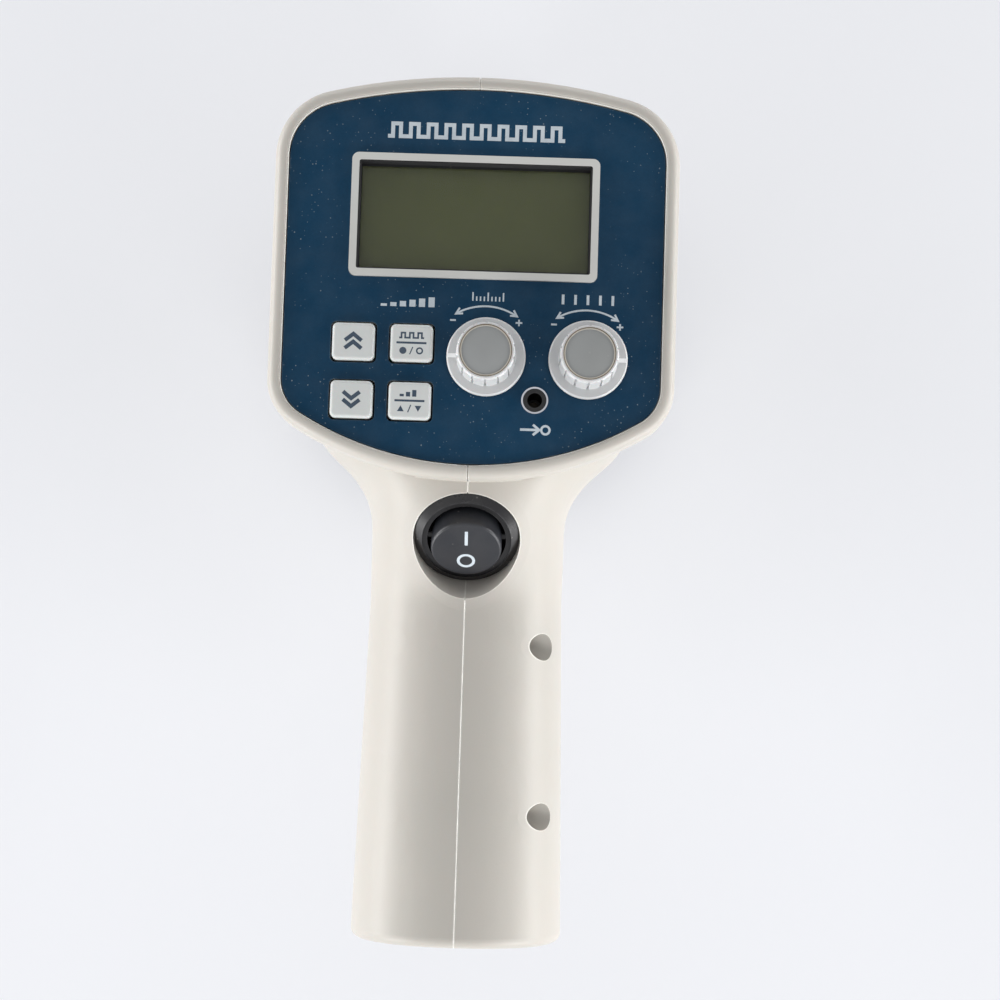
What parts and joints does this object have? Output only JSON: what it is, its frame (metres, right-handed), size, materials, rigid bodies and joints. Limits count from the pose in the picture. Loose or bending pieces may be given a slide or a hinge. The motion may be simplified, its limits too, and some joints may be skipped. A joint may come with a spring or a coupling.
{
  "type": "xenon stroboscope",
  "caption": "Hand-held pistol-type xenon stroboscope: round lens in front, keyed and knobbed control panel with a display behind, power rocker above the handle.",
  "frame": {"origin": "centre of the front rim's mouth, on the lens axis, in the plane of the face that the object lies on", "axes": "+Z along the lens axis from the lens to the control panel, +Y to the top of the head, handle towards -Y, +X to the right of someone reading the panel"},
  "size_m": [0.099, 0.2117, 0.1189],
  "materials": {
    "housing": "satin warm off-white ABS",
    "bezel": "satin charcoal ABS",
    "lens": "clear polycarbonate",
    "seal": "soft black",
    "mirror_metal": "polished",
    "tube_glass": "clear",
    "bright_metal": "plated",
    "zinc_steel": "zinc plated",
    "ceramic": "glazed white ceramic",
    "black_plastic": "satin",
    "board": "green solder mask",
    "core": "stacked sheet",
    "copper": "enamelled wire under tape",
    "sleeve_blue": "shrink sleeve",
    "panel_grey": "satin light grey",
    "film_blue": "printed film",
    "window": "clear acrylic",
    "display": "dark grey liquid crystal",
    "zebra": "striped rubber",
    "key_rubber": "light grey silicone",
    "carbon": "carbon filled",
    "knob_grey": "satin light grey",
    "cap_grey": "fine matt",
    "brass": "plain",
    "white_plastic": "plain",
    "switch_black": "satin black nylon",
    "rocker_black": "satin black"
  },
  "bodies": {
    "housing": {"housing_right": "housing", "housing_left": "housing", "housing_screws": "zinc_steel", "front_bezel": "bezel", "front_lens": "lens", "lens_seal": "seal", "reflector": "mirror_metal", "flash_tube": "tube_glass", "tube_electrodes": "bright_metal", "trigger_band": "bright_metal", "lamp_base": "ceramic", "lamp_plate": "black_plastic", "power_board": "board", "power_board_screws": "zinc_steel", "transformer_core": "core", "transformer_winding": "copper", "transformer_frame": "zinc_steel", "flash_capacitors": "sleeve_blue", "trigger_coil": "copper", "fuse": "tube_glass", "fuse_clips": "bright_metal", "control_panel": "panel_grey", "panel_overlay": "film_blue", "display_window": "window", "display_gasket": "seal", "lcd_glass": "display", "lcd_holder": "black_plastic", "zebra_strips": "zebra", "control_board": "board", "board_screws": "zinc_steel", "keypad_mat": "key_rubber", "pot_fine": "zinc_steel", "pot_coarse": "zinc_steel", "pot_nuts": "brass", "ext_jack_body": "black_plastic", "ext_jack_ring": "white_plastic", "ext_jack_contact": "brass", "switch_housing": "switch_black", "switch_terminals": "bright_metal", "mains_inlet": "black_plastic", "inlet_pins": "bright_metal"},
    "key_double": {"key_double": "key_rubber", "pill_double": "carbon"},
    "key_halve": {"key_halve": "key_rubber", "pill_halve": "carbon"},
    "key_trigger": {"key_trigger": "key_rubber", "pill_trigger": "carbon"},
    "key_range": {"key_range": "key_rubber", "pill_range": "carbon"},
    "knob_fine": {"knob_fine": "knob_grey", "knob_cap_fine": "cap_grey", "pot_shaft_fine": "zinc_steel"},
    "knob_coarse": {"knob_coarse": "knob_grey", "knob_cap_coarse": "cap_grey", "pot_shaft_coarse": "zinc_steel"},
    "rocker": {"switch_rocker": "rocker_black", "switch_plunger": "white_plastic"},
    "see_saw_contact": {"switch_contact": "brass"}
  },
  "joints": [
    {"name": "key_double_press", "type": "slide", "parent": "housing", "child": "key_double", "axis": [0, 0, -1], "range_m": [0, 0.001], "stiffness_N_per_m": 1200, "springref_m": -0.0003},
    {"name": "key_halve_press", "type": "slide", "parent": "housing", "child": "key_halve", "axis": [0, 0, -1], "range_m": [0, 0.001], "stiffness_N_per_m": 1200, "springref_m": -0.0003},
    {"name": "key_trigger_press", "type": "slide", "parent": "housing", "child": "key_trigger", "axis": [0, 0, -1], "range_m": [0, 0.001], "stiffness_N_per_m": 1200, "springref_m": -0.0003},
    {"name": "key_range_press", "type": "slide", "parent": "housing", "child": "key_range", "axis": [0, 0, -1], "range_m": [0, 0.001], "stiffness_N_per_m": 1200, "springref_m": -0.0003},
    {"name": "knob_fine_turn", "type": "hinge", "parent": "housing", "child": "knob_fine", "pos_m": [0.0035, -0.0191, 0.11], "axis": [0, 0, 1], "range_deg": [-240, 60]},
    {"name": "knob_coarse_turn", "type": "hinge", "parent": "housing", "child": "knob_coarse", "pos_m": [0.028, -0.0191, 0.11], "axis": [0, 0, 1], "range_deg": [-60, 240]},
    {"name": "rocker_tip", "type": "hinge", "parent": "housing", "child": "rocker", "pos_m": [0, -0.06095, 0.08985], "axis": [-1, 0, 0], "range_deg": [0, 18]},
    {"name": "contact_tip", "type": "hinge", "parent": "housing", "child": "see_saw_contact", "pos_m": [0, -0.05628, 0.08385], "axis": [1, 0, 0], "range_deg": [0, 10.85]}
  ],
  "couplings": [
    {"joint": "contact_tip", "follows": "rocker_tip", "ratio": 0.6}
  ]
}
